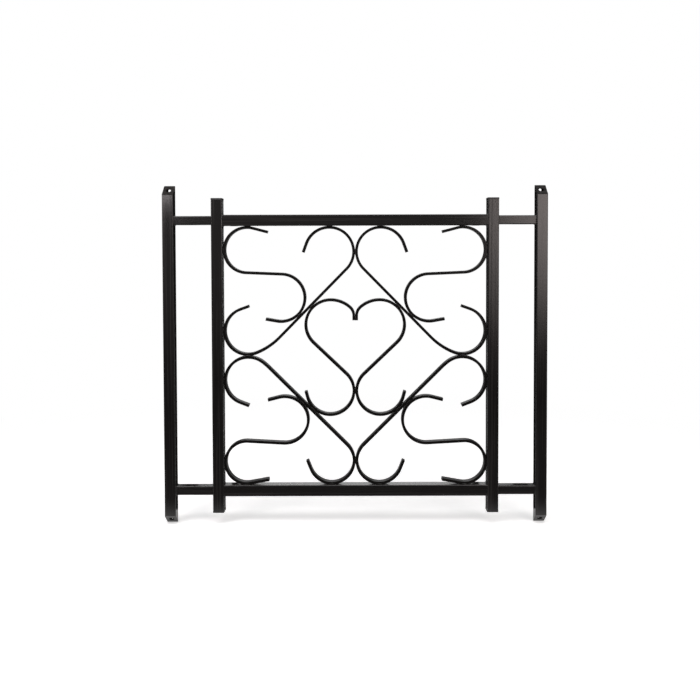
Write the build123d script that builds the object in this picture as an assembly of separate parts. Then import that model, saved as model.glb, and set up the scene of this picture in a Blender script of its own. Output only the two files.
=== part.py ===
from build123d import *
from math import acos, atan2, cos, degrees, radians, sin, sqrt
import os

# Adjustable screen door grille. Millimetres, X across the door, Z up.
# Y = 0 is the plane that bears on the door, and the grille stands off towards -Y.
# X = 0 and Z = 0 are the middle of the four fixing screws.
os.makedirs("parts", exist_ok=True)

# Square tube of the posts and rails
main_tube = 20.0
main_wall = 1.2
main_corner = 1.5

# Smaller square tube that telescopes into the rails
slide_tube = 16.0
slide_wall = 1.2
slide_corner = 1.5
window_clearance = 0.4

# Flat bar of the scrolls, which stands on edge towards the front
bar_thick = 5.0
bar_deep = 13.0
bar_corner = 0.5
weld_gap = 0.04

# Centre panel. The overhang runs from a rail's centre line to the end of the post.
inner_spacing = 492.0
rail_spacing = 484.6
inner_overhang = 36.7

# Side units, drawn at the width in the photograph
outer_spacing = 665.4
outer_overhang = 62.5
engagement = 150.0

# Folded ends of the outer posts
slant_height = 17.5
access_hole = 9.2
screw_hole = 5.0

# Plastic caps in the ends of the inner posts
cap_flange = 3.0
cap_lip = 0.3
cap_depth = 12.0
cap_clearance = 0.1
cap_wall = 1.6

# Upper diagonal scrolls: bend radii on the bar's centre line and straight tails
top_rail_bend = 43.5
top_post_bend = 41.6
top_stand_off = 6.5
ease_bend = 120.0
top_rail_angle = 160.0
top_post_angle = 110.0
diagonal_tail = 17.0

# Lower diagonal scrolls
low_rail_bend = 40.2
low_post_bend = 42.0
low_stand_off = 0.6
low_rail_angle = 158.0
low_post_angle = 111.0

# Upper corner scrolls
top_corner_bend = 40.4
top_corner_curl = 42.4
top_curl_run = 60.8
top_corner_angle = 75.5
top_corner_tail = 28.0
top_curl_angle = -100.0
curl_tail = 20.5

# Lower corner scrolls
low_corner_bend = 38.0
low_corner_curl = 42.0
low_curl_run = 68.8
low_corner_angle = 80.0
low_corner_tail = 34.0
low_curl_angle = -104.0

# Heart halves
lobe_bend = 44.5
lobe_offset = 43.9
crown_bend = 52.0
stub_bend = 20.0
stub_length = 8.2
heart_bend = 42.4
heart_angle = -165.0
heart_tail = 11.0

# Places that follow from the sizes
half_tube = main_tube / 2
half_bar = bar_thick / 2
inner_x = inner_spacing / 2
outer_x = outer_spacing / 2
rail_z = rail_spacing / 2
inner_length = rail_spacing + 2 * inner_overhang
outer_length = rail_spacing + 2 * outer_overhang
opening_x = inner_x - half_tube
opening_z = rail_z - half_tube
bar_y = -half_tube
touch = bar_thick + weld_gap
screw_z = outer_length / 2 - slant_height / 2


def square_tube(size, wall, corner, length):
    """A square tube along Z, centred on the origin."""
    outer = extrude(RectangleRounded(size, size, corner), length / 2, both=True)
    bore = RectangleRounded(size - 2 * wall, size - 2 * wall, max(corner - wall, 0.2))
    return outer - extrude(bore, length / 2, both=True)


def export(shape, name):
    shape.label = name
    export_step(shape, "parts/" + name + ".step")


# Outer posts: a tube whose side walls are cut on a slant at both ends. The front wall's tab
# is folded back over the cut and closes the end. It has a hole for the screwdriver.
def slant_wedge(inset):
    """The space beyond the top slant, moved into the tube by the inset."""
    slope = atan2(slant_height, main_tube)
    drop = inset / cos(slope)
    top = outer_length / 2 - drop
    reach = main_tube
    profile = Polyline(
        (reach, top + slant_height * reach / main_tube),
        (-main_tube - reach, top - slant_height * (main_tube + reach) / main_tube),
        (-main_tube - reach, top + outer_length / 4),
        (reach, top + outer_length / 4),
        (reach, top + slant_height * reach / main_tube),
    )
    return extrude(Plane.YZ * make_face(profile), main_tube, both=True)


def both_ends(shape):
    return shape + mirror(shape, about=Plane.XY)


def outer_post():
    bar = extrude(RectangleRounded(main_tube, main_tube, main_corner), outer_length / 2, both=True)
    bore_size = main_tube - 2 * main_wall
    bore = extrude(
        RectangleRounded(bore_size, bore_size, max(main_corner - main_wall, 0.2)), outer_length / 2, both=True
    )
    bar = Pos(0, -half_tube, 0) * bar - both_ends(slant_wedge(0))
    bore = Pos(0, -half_tube, 0) * bore - both_ends(slant_wedge(main_wall))
    slope = degrees(atan2(slant_height, main_tube))
    access = Pos(0, -half_tube, screw_z) * Rot(slope, 0, 0) * Cylinder(access_hole / 2, 4 * main_wall)
    screw = Pos(0, -main_wall / 2, screw_z) * Rot(90, 0, 0) * Cylinder(screw_hole / 2, 3 * main_wall)
    return bar - bore - both_ends(access) - both_ends(screw)


post = outer_post()
export(Pos(-outer_x, 0, 0) * post, "left_outer_post")
export(Pos(outer_x, 0, 0) * post, "right_outer_post")

# Slide rails: square tubes welded square to the inside of the outer posts. They run through
# the windows of the inner posts into the rails.
slide_start = inner_x - half_tube - engagement
slide_length = outer_x - half_tube - slide_start


def slide_rail(side, level):
    tube = Rot(0, 90, 0) * square_tube(slide_tube, slide_wall, slide_corner, slide_length)
    return Pos(side * (slide_start + slide_length / 2), -half_tube, level * rail_z) * tube


export(slide_rail(-1, 1), "left_top_slide")
export(slide_rail(-1, -1), "left_bottom_slide")
export(slide_rail(1, 1), "right_top_slide")
export(slide_rail(1, -1), "right_bottom_slide")


# Inner posts: square tube with a window through both side walls at each rail
def inner_post():
    tube = square_tube(main_tube, main_wall, main_corner, inner_length)
    size = slide_tube + 2 * window_clearance
    window = Rot(0, 90, 0) * extrude(
        RectangleRounded(size, size, slide_corner + window_clearance), main_tube, both=True
    )
    return Pos(0, -half_tube, 0) * (tube - Pos(0, 0, rail_z) * window - Pos(0, 0, -rail_z) * window)


post = inner_post()
export(Pos(-inner_x, 0, 0) * post, "left_inner_post")
export(Pos(inner_x, 0, 0) * post, "right_inner_post")

# Rails: square tube butted between the inner posts and welded all round
rail_length = 2 * opening_x
rail = Pos(0, -half_tube, 0) * Rot(0, 90, 0) * square_tube(main_tube, main_wall, main_corner, rail_length)
export(Pos(0, 0, rail_z) * rail, "top_rail")
export(Pos(0, 0, -rail_z) * rail, "bottom_rail")


# End caps: a moulded flange on a hollow square plug that is pushed into the tube
def end_cap():
    flange_size = main_tube + 2 * cap_lip
    flange = extrude(RectangleRounded(flange_size, flange_size, main_corner + cap_lip), cap_flange)
    flange = chamfer(flange.faces().sort_by(Axis.Z)[-1].edges(), cap_flange / 4)
    plug_size = main_tube - 2 * main_wall - 2 * cap_clearance
    plug_corner = max(main_corner - main_wall, 0.2)
    hollow = plug_size - 2 * cap_wall
    plug = extrude(RectangleRounded(plug_size, plug_size, plug_corner), -cap_depth)
    plug -= extrude(RectangleRounded(hollow, hollow, plug_corner), -cap_depth)
    return Pos(0, -half_tube, inner_length / 2) * (flange + plug)


cap = end_cap()
for side, place in ((-1, "left"), (1, "right")):
    export(Pos(side * inner_x, 0, 0) * cap, place + "_top_cap")
    export(Pos(side * inner_x, 0, 0) * mirror(cap, about=Plane.XY), place + "_bottom_cap")


# Scrolls: flat bar bent cold round pins, cut square at the ends and welded where it touches.
# They are drawn for the upper left quarter and mirrored. A place on a bend is given by its
# angle round the pin, counter-clockwise from +X as seen from the front.
def at(centre, radius, angle):
    a = radians(angle)
    return (centre[0] + radius * cos(a), centre[1] + radius * sin(a))


def common_tangent(c1, r1, c2, r2, side, crossing):
    """Angle of the touching points of a straight run between two bends."""
    dx = c2[0] - c1[0]
    dz = c2[1] - c1[1]
    span = sqrt(dx * dx + dz * dz)
    ratio = (r1 + r2) / span if crossing else (r1 - r2) / span
    return degrees(atan2(dz, dx)) + side * degrees(acos(ratio))


def beside(point, angle, x, distance):
    """Height of a bend's centre at x that stands a distance off the straight run of a diagonal."""
    a = radians(angle)
    return point[1] + (distance - (x - point[0]) * cos(a)) / sin(a)


def tail_edge(centre, radius, angle, turn, length):
    """The straight end that leaves a bend at an angle. turn is 1 for counter-clockwise."""
    start = at(centre, radius, angle)
    return Line(start, at(start, length, angle + 90 * turn))


def bend(centre, radius, start, end):
    return CenterArc(centre, radius, start, end - start)


def bar_along(edges):
    """Sweeps the flat bar along edges that follow one another, then stands it in the bar's plane."""
    path = Wire(edges)
    flat = Plane(origin=path @ 0, x_dir=(0, 0, 1), z_dir=path % 0)
    section = flat * RectangleRounded(bar_deep, bar_thick, bar_corner)
    return Pos(0, bar_y, 0) * Rot(90, 0, 0) * sweep(section, path=path)


# Diagonal scrolls: both ends turn the same way. One bend lies on the rail and the centre line,
# and the other lies on the post and the middle of the panel. A gentle bend eases into the
# second one.
def diagonal_layout(rail_bend, post_bend, stand_off):
    c1 = (-(touch / 2 + rail_bend), opening_z - weld_gap - half_bar - rail_bend)
    c2 = (-(opening_x - weld_gap - half_bar - post_bend), touch / 2 + post_bend)
    outward = common_tangent(c1, rail_bend, c2, post_bend + stand_off, 1, False)
    outward = outward - 360 if outward > 0 else outward
    start = at(c1, rail_bend, outward)
    along = (c2[0] - start[0]) * sin(radians(outward)) - (c2[1] - start[1]) * cos(radians(outward))
    reach = ease_bend - post_bend
    back = sqrt(reach**2 - (reach - stand_off) ** 2)
    ease_start = at(start, along - back, outward - 90)
    ease_centre = at(ease_start, ease_bend, outward + 180)
    ease_end = degrees(atan2(c2[1] - ease_centre[1], c2[0] - ease_centre[0]))
    return c1, c2, outward, start, ease_start, ease_centre, ease_end


def diagonal(layout, rail_bend, post_bend, rail_angle, post_angle):
    c1, c2, outward, start, ease_start, ease_centre, ease_end = layout
    first = tail_edge(c1, rail_bend, rail_angle, 1, diagonal_tail)
    last = tail_edge(c2, post_bend, post_angle, -1, diagonal_tail)
    return bar_along(
        [
            Line(first @ 1, first @ 0),
            bend(c1, rail_bend, rail_angle, outward),
            Line(start, ease_start),
            bend(ease_centre, ease_bend, outward, ease_end),
            bend(c2, post_bend, ease_end, post_angle - 360),
            last,
        ]
    )


top_layout = diagonal_layout(top_rail_bend, top_post_bend, top_stand_off)
low_layout = diagonal_layout(low_rail_bend, low_post_bend, low_stand_off)
top_diagonal = diagonal(top_layout, top_rail_bend, top_post_bend, top_rail_angle, top_post_angle)
low_diagonal = diagonal(low_layout, low_rail_bend, low_post_bend, low_rail_angle, low_post_angle)


# Corner scrolls: the two ends turn opposite ways. The hook lies on the rail and the post, and
# the curl lies on the diagonal.
def corner(layout, hook_bend, curl_bend, curl_run, hook_angle, hook_tail, curl_angle):
    c1 = (
        -(opening_x - weld_gap - half_bar - hook_bend),
        opening_z - weld_gap - half_bar - hook_bend,
    )
    x = c1[0] + curl_run
    c2 = (x, beside(layout[3], layout[2], x, -(curl_bend + touch)))
    meet = common_tangent(c1, hook_bend, c2, curl_bend, -1, True)
    first = tail_edge(c1, hook_bend, hook_angle, -1, hook_tail)
    return bar_along(
        [
            Line(first @ 1, first @ 0),
            bend(c1, hook_bend, hook_angle, meet + 360),
            Line(at(c1, hook_bend, meet), at(c2, curl_bend, meet + 180)),
            bend(c2, curl_bend, meet + 180, curl_angle),
            tail_edge(c2, curl_bend, curl_angle, -1, curl_tail),
        ]
    )


top_corner = corner(
    top_layout,
    top_corner_bend,
    top_corner_curl,
    top_curl_run,
    top_corner_angle,
    top_corner_tail,
    top_curl_angle,
)
low_corner = corner(
    low_layout,
    low_corner_bend,
    low_corner_curl,
    low_curl_run,
    low_corner_angle,
    low_corner_tail,
    low_curl_angle,
)


# Heart halves: a short straight stub on the centre line, a flatter crown, a lobe against the
# upper diagonal, a straight run and a hook between the centre line and the lower diagonal
def heart_half():
    lobe_x = -lobe_offset
    lobe = (lobe_x, beside(top_layout[3], top_layout[2], lobe_x, lobe_bend + touch))
    crown = (lobe_x, lobe[1] + lobe_bend - crown_bend)
    stub_x = -(touch / 2 + stub_bend)
    rise = sqrt((crown_bend - stub_bend) ** 2 - (stub_x - lobe_x) ** 2)
    turn = (stub_x, crown[1] + rise)
    turn_end = degrees(atan2(rise, stub_x - lobe_x))
    hook_x = -(touch / 2 + heart_bend)
    hook = (hook_x, -beside(low_layout[3], low_layout[2], hook_x, heart_bend + touch))
    meet = common_tangent(lobe, lobe_bend, hook, heart_bend, -1, True) + 360
    stub_top = at(turn, stub_bend, 0)
    return bar_along(
        [
            Line((stub_top[0], stub_top[1] - stub_length), stub_top),
            bend(turn, stub_bend, 0, turn_end),
            bend(crown, crown_bend, turn_end, 90),
            bend(lobe, lobe_bend, 90, meet),
            Line(at(lobe, lobe_bend, meet), at(hook, heart_bend, meet + 180)),
            bend(hook, heart_bend, meet - 180, heart_angle),
            tail_edge(hook, heart_bend, heart_angle, -1, heart_tail),
        ]
    )


heart = heart_half()
low_diagonal = mirror(low_diagonal, about=Plane.XY)
low_corner = mirror(low_corner, about=Plane.XY)
scrolls = (
    (top_corner, "top_corner_scroll"),
    (top_diagonal, "top_diagonal_scroll"),
    (heart, "heart_half"),
    (low_diagonal, "bottom_diagonal_scroll"),
    (low_corner, "bottom_corner_scroll"),
)
for scroll, name in scrolls:
    export(scroll, "left_" + name)
    export(mirror(scroll, about=Plane.YZ), "right_" + name)
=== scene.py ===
from math import atan2, cos, pi, radians, sin, sqrt

import bmesh
import bpy
from mathutils import Euler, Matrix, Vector, noise
from mathutils.bvhtree import BVHTree


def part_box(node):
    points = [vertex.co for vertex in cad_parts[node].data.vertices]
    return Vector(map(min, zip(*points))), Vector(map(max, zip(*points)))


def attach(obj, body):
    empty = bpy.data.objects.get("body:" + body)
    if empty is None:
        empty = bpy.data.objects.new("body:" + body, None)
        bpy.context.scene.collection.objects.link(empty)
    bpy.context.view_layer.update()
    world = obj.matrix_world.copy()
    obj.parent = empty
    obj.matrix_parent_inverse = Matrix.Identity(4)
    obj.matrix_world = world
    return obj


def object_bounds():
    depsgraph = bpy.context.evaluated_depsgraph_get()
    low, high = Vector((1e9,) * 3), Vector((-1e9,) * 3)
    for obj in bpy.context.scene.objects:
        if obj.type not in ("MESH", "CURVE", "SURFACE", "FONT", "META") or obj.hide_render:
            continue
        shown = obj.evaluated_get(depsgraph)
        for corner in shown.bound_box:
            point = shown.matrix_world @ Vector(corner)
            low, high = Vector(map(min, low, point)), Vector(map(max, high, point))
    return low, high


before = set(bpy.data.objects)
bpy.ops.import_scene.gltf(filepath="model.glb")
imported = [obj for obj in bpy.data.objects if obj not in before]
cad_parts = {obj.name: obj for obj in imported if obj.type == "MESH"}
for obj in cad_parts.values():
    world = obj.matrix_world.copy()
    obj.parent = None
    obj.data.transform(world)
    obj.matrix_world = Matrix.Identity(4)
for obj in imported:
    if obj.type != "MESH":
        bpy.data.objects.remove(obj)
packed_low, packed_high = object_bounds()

# Camera: it stands 1.4 m in front of the grille, a little above its middle, and looks slightly
# down. The lens is shifted down as well, which keeps the uprights nearly parallel in the picture.
picture_width_px = 700
focal_length_px = 761.6
picture_drop_px = 83.9
picture_side_shift = -0.0026
camera_place = (-0.0057, -1.3728, 0.1998)
camera_dip = 1.66
camera_roll = 0.15
camera_data = bpy.data.cameras.new("camera")
camera_data.sensor_width = 36.0
camera_data.lens = camera_data.sensor_width * focal_length_px / picture_width_px
camera_data.shift_x = picture_side_shift
camera_data.shift_y = -picture_drop_px / picture_width_px
camera = bpy.data.objects.new("camera", camera_data)
camera.location = camera_place
camera.rotation_euler = Euler((radians(90 - camera_dip), radians(camera_roll), 0))
bpy.context.scene.collection.objects.link(camera)
bpy.context.scene.camera = camera
bpy.context.scene.view_settings.view_transform = "Standard"


# Outer posts: square steel tube, drawn and seam welded, sprayed satin black. Each end is cut on
# a slant and closed by a tab of its own front wall, which is welded down along both edges.
def node(tree, kind, inputs=None, **settings):
    """A shader node. Each input is set to a value, or linked where the value is a socket."""
    made = tree.nodes.new("ShaderNode" + kind)
    for name, value in settings.items():
        setattr(made, name, value)
    for name, value in (inputs or {}).items():
        if isinstance(value, bpy.types.NodeSocket):
            tree.links.new(value, made.inputs[name])
        else:
            made.inputs[name].default_value = value
    return made


def maths(tree, operation, *values):
    """The result of one sum on numbers that vary over a surface."""
    return node(tree, "Math", dict(enumerate(values)), operation=operation).outputs[0]


def ramp(tree, value, start=0.0, end=1.0, low=0.0, high=1.0, smooth=False):
    """A value that goes from low at start to high at end, and stays there beyond them."""
    inputs = {"Value": value, "From Min": start, "From Max": end, "To Min": low, "To Max": high}
    kind = "SMOOTHSTEP" if smooth else "LINEAR"
    return node(tree, "MapRange", inputs, interpolation_type=kind).outputs[0]


def clouds(tree, place, scale, detail=2.0, roughness=0.5):
    """Soft random patches. The larger the scale, the smaller they are."""
    inputs = {"Vector": place, "Scale": scale, "Detail": detail, "Roughness": roughness}
    return node(tree, "TexNoise", inputs).outputs["Fac"]


def shader_group(name, inputs, outputs):
    """An empty shader group with named sockets."""
    group = bpy.data.node_groups.new(name, "ShaderNodeTree")
    for socket, kind, value in inputs:
        made = group.interface.new_socket(name=socket, in_out="INPUT", socket_type="NodeSocket" + kind)
        made.default_value = value
    for socket in outputs:
        group.interface.new_socket(name=socket, in_out="OUTPUT", socket_type="NodeSocketFloat")
    return group, group.nodes.new("NodeGroupInput").outputs, group.nodes.new("NodeGroupOutput").inputs


def drawing_lines():
    """Fine lines left along a tube by the drawing die. Stretch is large across and small along it."""
    inputs = [("Position", "Vector", (0, 0, 0)), ("Stretch", "Vector", (1, 1, 1))]
    group, given, put_out = shader_group("drawing_lines", inputs, ["Lines"])
    place = node(group, "VectorMath", {0: given["Position"], 1: given["Stretch"]}, operation="MULTIPLY")
    fine = clouds(group, place.outputs[0], scale=1.0, detail=3.0, roughness=0.6)
    group.links.new(ramp(group, fine, start=0.34, end=0.66), put_out["Lines"])
    return group


def sprayed_skin():
    """The faint orange peel of sprayed paint, with the odd speck of grit under it."""
    inputs = [("Position", "Vector", (0, 0, 0)), ("Grain", "Float", 500.0)]
    group, given, put_out = shader_group("sprayed_skin", inputs, ["Height", "Cloud"])
    speck_height = 0.35
    peel = clouds(group, given["Position"], scale=given["Grain"])
    grit = node(group, "TexVoronoi", {"Vector": given["Position"], "Scale": 260.0})
    speck = ramp(group, grit.outputs["Distance"], start=0.0, end=0.12, low=1.0, high=0.0)
    group.links.new(maths(group, "MULTIPLY_ADD", speck, speck_height, peel), put_out["Height"])
    group.links.new(clouds(group, given["Position"], scale=28.0, detail=4.0), put_out["Cloud"])
    return group


def thin_corners():
    """Where paint pulls thin on the rounded corners of a square tube. Across is measured from the
    tube's middle, and half is half its width."""
    inputs = [
        ("Position", "Vector", (0, 0, 0)),
        ("Across One", "Float", 0.0),
        ("Across Two", "Float", 0.0),
        ("Half", "Float", 0.01),
    ]
    group, given, put_out = shader_group("thin_corners", inputs, ["Wear"])
    one = maths(group, "ABSOLUTE", given["Across One"])
    two = maths(group, "ABSOLUTE", given["Across Two"])
    share = maths(group, "DIVIDE", maths(group, "MINIMUM", one, two), given["Half"])
    corner = ramp(group, share, start=0.84, end=0.96, smooth=True)
    patch = clouds(group, given["Position"], scale=90.0, detail=5.0, roughness=0.7)
    broken = ramp(group, patch, start=0.42, end=0.68)
    group.links.new(maths(group, "MULTIPLY", corner, broken), put_out["Wear"])
    return group


def settled_dust():
    """Dust that has settled on whatever faces up."""
    inputs = [("Position", "Vector", (0, 0, 0)), ("Facing", "Vector", (0, 0, 1))]
    group, given, put_out = shader_group("settled_dust", inputs, ["Dust"])
    up = node(group, "SeparateXYZ", {0: given["Facing"]}).outputs[2]
    top = ramp(group, up, start=0.35, end=1.0)
    drift = clouds(group, given["Position"], scale=160.0, detail=6.0, roughness=0.75)
    patch = ramp(group, drift, start=0.4, end=0.7)
    group.links.new(maths(group, "MULTIPLY", top, patch), put_out["Dust"])
    return group


effects = {g.name: g for g in (drawing_lines(), sprayed_skin(), thin_corners(), settled_dust())}


def effect(tree, name, inputs):
    """One of the shared effects, placed in a material with its own values."""
    return node(tree, "Group", inputs, node_tree=effects[name]).outputs


def mixed(tree, share, low, high):
    """A colour between two, by a share from 0 to 1."""
    blend = node(tree, "Mix", {0: share}, data_type="RGBA")
    for socket, value in ((6, low), (7, high)):
        if isinstance(value, bpy.types.NodeSocket):
            tree.links.new(value, blend.inputs[socket])
        else:
            blend.inputs[socket].default_value = (*value, 1)
    return blend.outputs[2]


def tinted(tree, film, mask, strength, colour):
    """A film with another colour laid over it where a mask says, at a strength from 0 to 1."""
    return mixed(tree, maths(tree, "MULTIPLY", mask, strength), film, colour)


def new_material(name):
    """A new material, its nodes and shader, and where each point of its surface is and faces."""
    material = bpy.data.materials.new(name)
    material.use_nodes = True
    tree = material.node_tree
    place = node(tree, "TexCoord").outputs["Object"]
    facing = node(tree, "NewGeometry").outputs["Normal"]
    return material, tree, tree.nodes["Principled BSDF"], place, facing


worn_grey = (0.03, 0.028, 0.027)
dust_grey = (0.09, 0.085, 0.08)
upright_lines = (430, 430, 4)
level_lines = (4, 430, 430)


def tube_paint(name, stretch, across_one, across_two, half, gloss=0.14, lines=0.05, twist=0.0):
    """Satin black paint on square tube. Stretch follows its length. Each across is an axis of its
    section, the tube's middle on it, and whether a mirrored twin stands at minus that middle."""
    material, tree, shader, place, facing = new_material(name)
    thick_film = (0.0085, 0.0078, 0.0076)
    thin_film = (0.0125, 0.0115, 0.0112)
    streak_grey = (0.028, 0.026, 0.025)
    worn_share = 0.5
    dust_share = 0.35
    dust_roughness = 0.2
    line_height = 0.6
    parts = node(tree, "SeparateXYZ", {0: place}).outputs
    offsets = []
    for axis, middle, twin in (across_one, across_two):
        across = maths(tree, "ABSOLUTE", parts[axis]) if twin else parts[axis]
        offsets.append(maths(tree, "SUBTRACT", across, middle))
    drawn = effect(tree, "drawing_lines", {"Position": place, "Stretch": stretch})["Lines"]
    skin = effect(tree, "sprayed_skin", {"Position": place, "Grain": 520.0})
    corners = {"Position": place, "Across One": offsets[0], "Across Two": offsets[1], "Half": half}
    worn = effect(tree, "thin_corners", corners)["Wear"]
    dust = effect(tree, "settled_dust", {"Position": place, "Facing": facing})["Dust"]
    streak = ramp(tree, drawn, start=0.55, end=0.95, high=0.7)
    film = mixed(tree, skin["Cloud"], thick_film, thin_film)
    film = mixed(tree, streak, film, streak_grey)
    film = tinted(tree, film, worn, worn_share, worn_grey)
    film = tinted(tree, film, dust, dust_share, dust_grey)
    rough = maths(tree, "MULTIPLY_ADD", drawn, lines, gloss)
    rough = maths(tree, "MULTIPLY_ADD", dust, dust_roughness, rough)
    height = maths(tree, "MULTIPLY_ADD", drawn, line_height, skin["Height"])
    bump = node(tree, "Bump", {"Height": height, "Strength": 0.12, "Distance": 0.0004}).outputs[0]
    if twist:
        turned = {"Vector": bump, "Angle": radians(twist)}
        bump = node(tree, "VectorRotate", turned, rotation_type="Z_AXIS").outputs[0]
    tree.links.new(film, shader.inputs["Base Color"])
    tree.links.new(rough, shader.inputs["Roughness"])
    tree.links.new(bump, shader.inputs["Normal"])
    return material


def paint(name, material):
    """Gives a CAD node a material."""
    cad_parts[name].data.materials.clear()
    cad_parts[name].data.materials.append(material)


def middle_of(name, axis):
    """The middle of a CAD node along an axis: 0, 1 or 2."""
    low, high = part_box(name)
    return (low[axis] + high[axis]) / 2


def piece(name, shape, material, body):
    """A finished mesh as an object that rides on a body."""
    data = bpy.data.meshes.new(name)
    bmesh.ops.recalc_face_normals(shape, faces=shape.faces)
    shape.to_mesh(data)
    shape.free()
    for face in data.polygons:
        face.use_smooth = True
    data.materials.append(material)
    made = bpy.data.objects.new(name, data)
    bpy.context.scene.collection.objects.link(made)
    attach(made, body)


def sweep(shape, rings, closed=False):
    """Joins rings of points, each ring a closed section. The two ends are capped, unless the last
    ring joins the first."""
    made = [[shape.verts.new(p) for p in ring] for ring in rings]
    count = len(made[0])
    pairs = list(zip(made, made[1:]))
    if closed:
        pairs.append((made[-1], made[0]))
    for a, b in pairs:
        for i in range(count):
            shape.faces.new((a[i], a[(i + 1) % count], b[(i + 1) % count], b[i]))
    if not closed:
        shape.faces.new(made[0][::-1])
        shape.faces.new(made[-1])


sides = ((-1, "left"), (1, "right"))
ends = ((1, "top"), (-1, "bottom"))
main_half = 0.010
outer_x = middle_of("right_outer_post", 0)
outer_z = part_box("right_outer_post")[1].z
slant_height = 0.0175
slope = atan2(slant_height, 2 * main_half)
tube_depth = (1, -main_half, False)
outer_paint = tube_paint("outer_post_paint", upright_lines, (0, outer_x, True), tube_depth, main_half)
weld_ripple = 0.0011
weld_step = 0.0003
weld_grain = 300


def bead(shape, points, normal, width, height, seed):
    """A weld bead laid along points on a surface, rippled as the arc moved on, with smaller ends."""
    ripple_share = 0.12
    uneven_share = 0.2
    end_share = 0.35
    end_growth = 0.25
    facets = 8
    rings = []
    length = 0.0
    for i, point in enumerate(points):
        before = points[max(i - 1, 0)]
        after = points[min(i + 1, len(points) - 1)]
        along = (after - before).normalized()
        across = along.cross(normal).normalized()
        length += (point - before).length
        from_end = min(i, len(points) - 1 - i)
        fade = min(1.0, end_share + from_end * end_growth)
        ripple = ripple_share * sin(2 * pi * length / weld_ripple)
        uneven = uneven_share * noise.noise(Vector((length * weld_grain, seed, 0)))
        swell = 1 + ripple + uneven
        ring = []
        for k in range(facets + 1):
            a = pi * k / facets
            out = across * (cos(a) * width / 2 * fade * swell)
            ring.append(point + out + normal * (sin(a) * height * fade * swell))
        rings.append(ring)
    sweep(shape, rings)


def line(start, end):
    """Points from start to end, about one weld step apart."""
    count = max(2, round((end - start).length / weld_step))
    return [start.lerp(end, i / count) for i in range(count + 1)]


tab_edge = main_half - 0.0009
tab_foot_y = -0.0190
tab_head_y = -0.0012
tab_foot_share = 0.95
tab_head_share = 0.06
for side, place in sides:
    paint(place + "_outer_post", outer_paint)
    for up, end in ends:
        seams = bmesh.new()
        plate = Vector((0, -sin(slope), up * cos(slope)))
        for edge in (-1, 1):
            x = side * outer_x + edge * tab_edge
            foot = Vector((x, tab_foot_y, up * (outer_z - slant_height * tab_foot_share)))
            head = Vector((x, tab_head_y, up * (outer_z - slant_height * tab_head_share)))
            bead(seams, line(foot, head), plate, width=0.0011, height=0.0002, seed=10 * side + up + edge)
        piece(f"{place}_{end}_tab_welds", seams, outer_paint, place + "_side")

# Slide rails: smaller square tube, welded square to the inside of the outer posts. They telescope
# through the windows of the inner posts, which has rubbed fine bright lines along them.
slide_half = 0.008
slide_corner = 0.0015
rail_z = middle_of("top_rail", 2)
slide_paint = tube_paint(
    "slide_rail_paint", level_lines, tube_depth, (2, rail_z, True), slide_half, gloss=0.17, lines=0.08
)


def fillet(shape, corners, leg_out, leg_along, along, seed):
    """A fillet weld round a square tube, where it stands on a flat wall. Corners are the tube's own
    outline on that wall, and along points up the tube."""
    ripple_share = 0.13
    uneven_share = 0.22
    facets = 6
    root = 0.0004
    middle = sum(corners, Vector()) / len(corners)
    rings = []
    length = 0.0
    for i, corner in enumerate(corners):
        length += (corner - corners[i - 1]).length
        out = (corner - middle).normalized()
        ripple = ripple_share * sin(2 * pi * length / weld_ripple)
        uneven = uneven_share * noise.noise(Vector((length * weld_grain, seed, 3)))
        swell = 1 + ripple + uneven
        ring = []
        for k in range(facets + 1):
            a = pi / 2 * k / facets
            ring.append(corner + out * (leg_out * swell * cos(a)) + along * (leg_along * swell * sin(a)))
        ring.append(corner - out * root)
        rings.append(ring)
    sweep(shape, rings, closed=True)


def square_outline(centre, half, corner, one, two):
    """Points round a square with rounded corners, in the plane of directions one and two."""
    step = 0.0004
    corner_points = 4
    flat = half - corner
    count = round(2 * flat / step)
    points = []
    for quarter in range(4):
        a = pi / 2 * quarter
        side_one = one * cos(a) + two * sin(a)
        side_two = two * cos(a) - one * sin(a)
        for i in range(count):
            points.append(centre + side_one * half + side_two * (flat * (2 * i / count - 1)))
        for i in range(corner_points):
            b = pi / 2 * i / corner_points
            points.append(centre + side_one * (flat + corner * cos(b)) + side_two * (flat + corner * sin(b)))
    return points


for side, place in sides:
    for up, end in ends:
        paint(f"{place}_{end}_slide", slide_paint)
        foot = Vector((side * (outer_x - main_half), -main_half, up * rail_z))
        outline = square_outline(foot, slide_half, slide_corner, Vector((0, 1, 0)), Vector((0, 0, 1)))
        ring = bmesh.new()
        inward = Vector((-side, 0, 0))
        fillet(ring, outline, leg_out=0.0012, leg_along=0.0014, along=inward, seed=3 * side + up)
        piece(f"{place}_{end}_slide_weld", ring, outer_paint, place + "_side")

# Inner posts: the same tube and paint as the outer posts, with a punched window for each slide
# rail. Their fronts are taken as turned by a degree, as their highlights suggest.
inner_x = middle_of("right_inner_post", 0)
front_turn = 1.0
inner_paint = tube_paint(
    "inner_post_paint", upright_lines, (0, inner_x, True), tube_depth, main_half, twist=front_turn
)
for _, place in sides:
    paint(place + "_inner_post", inner_paint)

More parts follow.
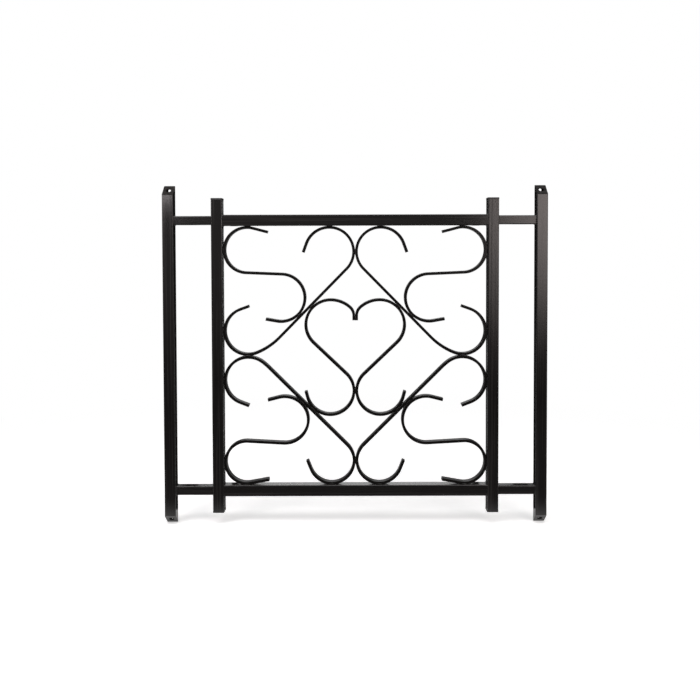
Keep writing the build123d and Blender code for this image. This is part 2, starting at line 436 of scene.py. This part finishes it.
# Rails: square tube cut to fit between the inner posts. The butt joint is welded all round: a flat
# bead fills the groove at the front and back, and a fillet stands in the corner above and below.
rail_paint = tube_paint("rail_paint", level_lines, tube_depth, (2, rail_z, True), main_half)
groove_y = main_half - 0.0009
groove_lap = 0.0001
groove_end = main_half - 0.001
fillet_front_y = -0.0185
fillet_back_y = -0.0015
for up, end in ends:
    paint(end + "_rail", rail_paint)
    for side, place in sides:
        joint = bmesh.new()
        wall_x = side * (inner_x - main_half)
        groove_x = wall_x - side * groove_lap
        for face in (-1, 1):
            y = -main_half + face * groove_y
            low = Vector((groove_x, y, up * rail_z - groove_end))
            high = Vector((groove_x, y, up * rail_z + groove_end))
            outward = Vector((0, face, 0))
            bead(joint, line(low, high), outward, width=0.0026, height=0.0006, seed=5 * side + up + face)
            z = up * rail_z + face * main_half
            front = Vector((wall_x, fillet_front_y, z))
            back = Vector((wall_x, fillet_back_y, z))
            lean = Vector((-side, 0, face)).normalized()
            bead(joint, line(front, back), lean, width=0.0026, height=0.0010, seed=7 * side + up + face)
        piece(f"{place}_{end}_rail_weld", joint, rail_paint, "centre_panel")


# Caps: plugs moulded in black plastic with a fine grain, and pushed into the open ends of the
# inner posts, where their flanges cover the cut.
def moulded_plastic():
    """Black plastic with a fine moulded grain and a little dust on top."""
    material, tree, shader, place, facing = new_material("cap_plastic")
    deep_black = (0.012, 0.012, 0.012)
    pale_black = (0.02, 0.02, 0.02)
    dust_pale = (0.1, 0.095, 0.09)
    dust_share = 0.4
    smoothest = 0.36
    cloud_roughness = 0.2
    skin = effect(tree, "sprayed_skin", {"Position": place, "Grain": 1400.0})
    dust = effect(tree, "settled_dust", {"Position": place, "Facing": facing})["Dust"]
    plastic = mixed(tree, skin["Cloud"], deep_black, pale_black)
    plastic = tinted(tree, plastic, dust, dust_share, dust_pale)
    rough = maths(tree, "MULTIPLY_ADD", skin["Cloud"], cloud_roughness, smoothest)
    bump = node(tree, "Bump", {"Height": skin["Height"], "Strength": 0.25, "Distance": 0.0002})
    tree.links.new(plastic, shader.inputs["Base Color"])
    tree.links.new(rough, shader.inputs["Roughness"])
    tree.links.new(bump.outputs[0], shader.inputs["Normal"])
    return material


cap_plastic = moulded_plastic()
for _, place in sides:
    for _, end in ends:
        paint(f"{place}_{end}_cap", cap_plastic)


# Scrolls: flat steel bar standing on edge to the front, bent cold round pins, sheared off square
# and sprayed with the frame. The paint is thin along its four long corners, and it lies drier and
# duller on the wide faces, which the spray from the front only grazes.
def bar_coat():
    """Satin black paint on flat bar, glossy on the narrow faces and dull on the wide ones."""
    material, tree, shader, place, facing = new_material("bar_paint")
    thick_film = (0.0055, 0.005, 0.0047)
    thin_film = (0.009, 0.0083, 0.008)
    worn_share = 0.5
    dust_share = 0.2
    smoothest = 0.14
    cloud_roughness = 0.10
    dry_roughness = 0.28
    skin = effect(tree, "sprayed_skin", {"Position": place, "Grain": 700.0})
    dust = effect(tree, "settled_dust", {"Position": place, "Facing": facing})["Dust"]
    halfway = 0.5
    forward = maths(tree, "ABSOLUTE", node(tree, "SeparateXYZ", {0: facing}).outputs[1])
    off_corner = maths(tree, "ABSOLUTE", maths(tree, "SUBTRACT", forward, halfway))
    corner = ramp(tree, off_corner, start=0.46, end=0.3)
    chips = clouds(tree, place, scale=140.0, detail=5.0, roughness=0.7)
    worn = maths(tree, "MULTIPLY", corner, ramp(tree, chips, start=0.45, end=0.65))
    film = mixed(tree, skin["Cloud"], thick_film, thin_film)
    film = tinted(tree, film, worn, worn_share, worn_grey)
    film = tinted(tree, film, dust, dust_share, dust_grey)
    dry = ramp(tree, forward, start=0.6, end=0.1)
    rough = maths(tree, "MULTIPLY_ADD", skin["Cloud"], cloud_roughness, smoothest)
    rough = maths(tree, "MULTIPLY_ADD", dry, dry_roughness, rough)
    bump = node(tree, "Bump", {"Height": skin["Height"], "Strength": 0.15, "Distance": 0.0003})
    tree.links.new(film, shader.inputs["Base Color"])
    tree.links.new(rough, shader.inputs["Roughness"])
    tree.links.new(bump.outputs[0], shader.inputs["Normal"])
    shader.inputs["Specular IOR Level"].default_value = 0.28
    return material


bar_paint = bar_coat()
scroll_kinds = (
    "top_corner_scroll",
    "top_diagonal_scroll",
    "heart_half",
    "bottom_diagonal_scroll",
    "bottom_corner_scroll",
)
for _, place in sides:
    for kind in scroll_kinds:
        paint(f"{place}_{kind}", bar_paint)

# Tack welds: short beads over the seam between two bars, or between a bar and a tube, one at the
# front edge of the bars and one at the back. They are sprayed over with the rest.
bar_front, bar_back = (corner.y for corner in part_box("left_heart_half"))
tack_reach = 0.0055
tack_across = 0.0017
tack_proud = 0.0006
tack_deep = 0.0016
touch_play = 0.0001
right_way = Vector((1, 0, 0))
back_way = Vector((0, 1, 0))
up_way = Vector((0, 0, 1))


def tack(shape, middle, along, seed):
    """A lump of weld at the front and one at the back of a seam, long along the bars and tapering
    to nothing."""
    half_rings = 8
    facets = 12
    ripple_share = 0.10
    uneven_share = 0.16
    lumps_along = 2
    across = along.cross(back_way).normalized()
    for edge, out in ((bar_front, -1), (bar_back, 1)):
        rings = []
        for i in range(1, 2 * half_rings):
            t = i / half_rings - 1
            swell = sqrt(1 - t * t) * (1 + ripple_share * sin(2 * pi * t * tack_reach / weld_ripple))
            ring = []
            for k in range(facets):
                a = 2 * pi * k / facets
                lump = 1 + uneven_share * noise.noise(Vector((t * lumps_along, a, seed + out)))
                rise = (tack_proud if sin(a) > 0 else tack_deep) * sin(a) * swell * lump
                ring.append(
                    Vector((middle.x, edge + out * rise, middle.z))
                    + along * (t * tack_reach)
                    + across * (cos(a) * tack_across * swell * lump)
                )
            rings.append(ring)
        sweep(shape, rings)


def flat_touch(name, axis, value):
    """Where a bar lies against a flat wall, as the middle of its nearest points."""
    points = [v.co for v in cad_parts[name].data.vertices]
    closest = min(abs(p[axis] - value) for p in points)
    near = [p for p in points if abs(p[axis] - value) < closest + touch_play]
    return sum(near, Vector()) / len(near)


def bar_touch(name_a, name_b, lowest=-1.0, highest=1.0):
    """Where two bars touch between two heights, and the direction in which they run there."""
    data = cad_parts[name_b].data
    other = BVHTree.FromPolygons([v.co for v in data.vertices], [list(f.vertices) for f in data.polygons])
    found = []
    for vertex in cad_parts[name_a].data.vertices:
        if lowest < vertex.co.z < highest:
            place, facing, _, far = other.find_nearest(vertex.co)
            found.append((far, (vertex.co + place) / 2, facing.copy()))
    closest = min(far for far, _, _ in found)
    near = [(place, facing) for far, place, facing in found if far < closest + touch_play]
    middle = sum((place for place, _ in near), Vector()) / len(near)
    facing = sum((facing for _, facing in near), Vector())
    return middle, facing.cross(back_way).normalized()


rail_face = rail_z - main_half
post_face = inner_x - main_half
seeds_per_scroll = 5
seed = 0
for side, place in sides:
    for kind in scroll_kinds:
        name = f"{place}_{kind}"
        tacks = bmesh.new()
        if kind != "heart_half":
            up = 1 if kind.startswith("top") else -1
            middle = flat_touch(name, 2, up * rail_face)
            tack(tacks, Vector((middle.x, 0, up * rail_face)), right_way, seed)
            middle = flat_touch(name, 0, side * post_face)
            tack(tacks, Vector((side * post_face, 0, middle.z)), up_way, seed + 1)
        if kind == "heart_half":
            others = ["top_diagonal_scroll", "bottom_diagonal_scroll"]
        elif "corner" in kind:
            others = [kind.replace("corner", "diagonal")]
        else:
            others = []
        for other in others:
            middle, along = bar_touch(name, f"{place}_{other}")
            tack(tacks, middle, along, seed + 2)
        piece(name + "_tacks", tacks, bar_paint, "centre_panel")
        seed += seeds_per_scroll
for _, place in sides:
    tacks = bmesh.new()
    middle, along = bar_touch(f"{place}_top_diagonal_scroll", f"{place}_bottom_diagonal_scroll")
    tack(tacks, middle, along, seed)
    piece(place + "_hook_tack", tacks, bar_paint, "centre_panel")
    seed += 1
for kind, lowest, highest in (
    ("top_diagonal_scroll", -1.0, 1.0),
    ("heart_half", 0.0, 1.0),
    ("heart_half", -1.0, 0.0),
    ("bottom_diagonal_scroll", -1.0, 1.0),
):
    tacks = bmesh.new()
    middle, along = bar_touch("left_" + kind, "right_" + kind, lowest, highest)
    tack(tacks, middle, along, seed)
    piece(f"centre_tack_{seed}", tacks, bar_paint, "centre_panel")
    seed += 1


# Lamps: a large soft box overhead, one high at the right whose lower edge fades, and a small one
# close by at the left.
def soft_box(name, place, width, height, radiance, blur, colour=(1, 1, 1), aim=None):
    """A rectangular lamp that faces the grille square on, or a point. Radiance is how bright its
    face looks, and blur is how far its edges fade, across and up."""
    middle = 0.5
    data = bpy.data.lights.new(name, "AREA")
    data.shape = "RECTANGLE"
    data.size = width
    data.size_y = height
    data.energy = radiance * pi * width * height
    data.color = colour
    data.use_nodes = True
    tree = data.node_tree
    across = node(tree, "SeparateXYZ", {0: node(tree, "NewGeometry").outputs["Parametric"]}).outputs
    shares = []
    for axis, share in ((0, blur[0] / width), (1, blur[1] / height)):
        off = maths(tree, "ABSOLUTE", maths(tree, "SUBTRACT", across[axis], middle))
        shares.append(ramp(tree, off, start=middle, end=middle - share, smooth=True))
    strength = maths(tree, "MULTIPLY", shares[0], shares[1])
    tree.links.new(strength, tree.nodes["Emission"].inputs["Strength"])
    lamp = bpy.data.objects.new(name, data)
    lamp.location = place
    away = Vector(aim) - Vector(place) if aim else back_way
    lamp.rotation_euler = away.to_track_quat("-Z", "Y").to_euler()
    bpy.context.scene.collection.objects.link(lamp)


soft_box(
    "right_box",
    place=(1.20, -1.75, 0.60),
    width=1.3,
    height=1.8,
    radiance=3.9,
    blur=(0.14, 0.65),
    colour=(1, 0.89, 0.86),
)
soft_box(
    "left_box",
    place=(-0.682, -0.52, 0.545),
    width=0.5,
    height=0.5,
    radiance=7.4,
    blur=(0.02, 0.02),
    colour=(1, 0.93, 0.95),
)
soft_box(
    "top_box",
    place=(0, -1.1, 2.2),
    width=3.0,
    height=1.8,
    radiance=3.6,
    blur=(0.3, 0.3),
    aim=(0, 0.1, -0.3),
)


# Flags: four narrow strips of black felt behind the posts. They show only in reflections, and
# keep the inner sides of the posts dark.
def black_felt():
    """Felt that gives back almost no light."""
    material, tree, shader, place, _ = new_material("flag_black")
    deep_felt = (0.002, 0.002, 0.002)
    pale_felt = (0.006, 0.006, 0.006)
    felt = mixed(tree, clouds(tree, place, scale=900.0), deep_felt, pale_felt)
    tree.links.new(felt, shader.inputs["Base Color"])
    shader.inputs["Roughness"].default_value = 1.0
    shader.inputs["Specular IOR Level"].default_value = 0.0
    return material


flag_felt = black_felt()
flag_back = 0.05
flag_middle = 0.06
flag_half_height = 0.36
for name, x, width in (("outer", 0.309, 0.030), ("inner", 0.2255, 0.014)):
    for side, place in sides:
        data = bpy.data.meshes.new(f"{name}_flag")
        cloth = bmesh.new()
        outline = ((-1, -1), (1, -1), (1, 1), (-1, 1))
        cloth.faces.new([cloth.verts.new((a * width / 2, 0, b * flag_half_height)) for a, b in outline])
        cloth.to_mesh(data)
        cloth.free()
        data.materials.append(flag_felt)
        flag = bpy.data.objects.new(f"{name}_flag_{place}", data)
        flag.location = (side * x, flag_back, flag_middle)
        flag.visible_camera = False
        flag.visible_shadow = False
        flag.visible_diffuse = False
        bpy.context.scene.collection.objects.link(flag)

# Room: plain white to the camera. Other rays see a dim room, with a bright band straight behind
# the grille that fades to its sides and overhead.
world = bpy.data.worlds.new("studio")
world.use_nodes = True
bpy.context.scene.world = world
tree = world.node_tree
tree.nodes.clear()
white = (1, 1, 1, 1)
camera_white = 1.0
dimmest = 0.11
brightest = 1.5
least_ahead = 0.001
aim = node(tree, "SeparateXYZ", {0: node(tree, "TexCoord").outputs["Generated"]}).outputs
ahead = maths(tree, "MAXIMUM", aim[1], least_ahead)
aside = maths(tree, "ABSOLUTE", maths(tree, "DIVIDE", aim[0], ahead))
band = ramp(tree, aside, start=0.24, end=0.13, smooth=True)
below = ramp(tree, aim[2], start=0.75, end=0.5)
strength = ramp(tree, maths(tree, "MULTIPLY", band, below), low=dimmest, high=brightest)
room = node(tree, "Background", {"Color": white, "Strength": strength})
backdrop = node(tree, "Background", {"Color": white, "Strength": camera_white})
to_camera = node(tree, "LightPath").outputs["Is Camera Ray"]
shown = node(tree, "MixShader", {0: to_camera, 1: room.outputs[0], 2: backdrop.outputs[0]})
node(tree, "OutputWorld", {"Surface": shown.outputs[0]})


# Floor: matt white paper that fades into the white behind, and keeps the soft shadow. In front of
# the grille only the camera sees it white, so that the fronts of the tubes stay black.
def white_paper():
    """Paper lit by the lamps near the grille, and plain white far from it."""
    material, tree, shader, place, _ = new_material("floor_paper")
    paper_grey = (0.93, 0.93, 0.93)
    paper_white = (0.96, 0.96, 0.96)
    front_dark = (0.06, 0.06, 0.06)
    paper_lift = 0.5
    ray = node(tree, "LightPath").outputs
    reach = node(tree, "VectorMath", {0: place}, operation="LENGTH").outputs["Value"]
    far_off = ramp(tree, reach, start=0.4, end=1.3, smooth=True)
    depth = node(tree, "SeparateXYZ", {0: place}).outputs[1]
    behind = ramp(tree, depth, start=-0.16, end=-0.02, smooth=True)
    # painted contact shadow: right under the grille the paper goes darker, down to 0.7, as reflections see
    # it
    under = ramp(tree, depth, start=-0.03, end=-0.012, low=1.0, high=0.7)
    laid = maths(tree, "MULTIPLY", behind, under)
    to_gloss = maths(tree, "MAXIMUM", ray["Is Glossy Ray"], ray["Is Transmission Ray"])
    to_gloss = maths(tree, "MULTIPLY", to_gloss, laid)
    glowing = maths(tree, "MAXIMUM", to_gloss, ray["Is Camera Ray"])
    pale = maths(tree, "MAXIMUM", laid, ray["Is Camera Ray"])
    fibre = clouds(tree, place, scale=500.0, detail=3.0)
    sheet = mixed(tree, pale, front_dark, mixed(tree, fibre, paper_grey, paper_white))
    tree.links.new(sheet, shader.inputs["Base Color"])
    shader.inputs["Roughness"].default_value = 0.9
    shader.inputs["Specular IOR Level"].default_value = 0.1
    lifting = maths(tree, "MULTIPLY", glowing, paper_lift)
    lift = node(tree, "Emission", {"Color": white, "Strength": lifting})
    near = node(tree, "AddShader", {0: shader.outputs[0], 1: lift.outputs[0]})
    plain = node(tree, "Emission", {"Color": white, "Strength": glowing})
    both = node(tree, "MixShader", {0: far_off, 1: near.outputs[0], 2: plain.outputs[0]})
    tree.links.new(both.outputs[0], tree.nodes["Material Output"].inputs["Surface"])
    # the paper only looks white, and isn't a lamp
    material.cycles.emission_sampling = "NONE"
    return material


floor_half = 3.0
floor_gap = 0.0002
data = bpy.data.meshes.new("floor")
paper = bmesh.new()
bmesh.ops.create_grid(paper, x_segments=1, y_segments=1, size=floor_half)
paper.to_mesh(data)
paper.free()
data.materials.append(white_paper())
floor = bpy.data.objects.new("floor", data)
floor.location = (0, 0, packed_low.z - floor_gap)
bpy.context.scene.collection.objects.link(floor)

bpy.context.view_layer.update()
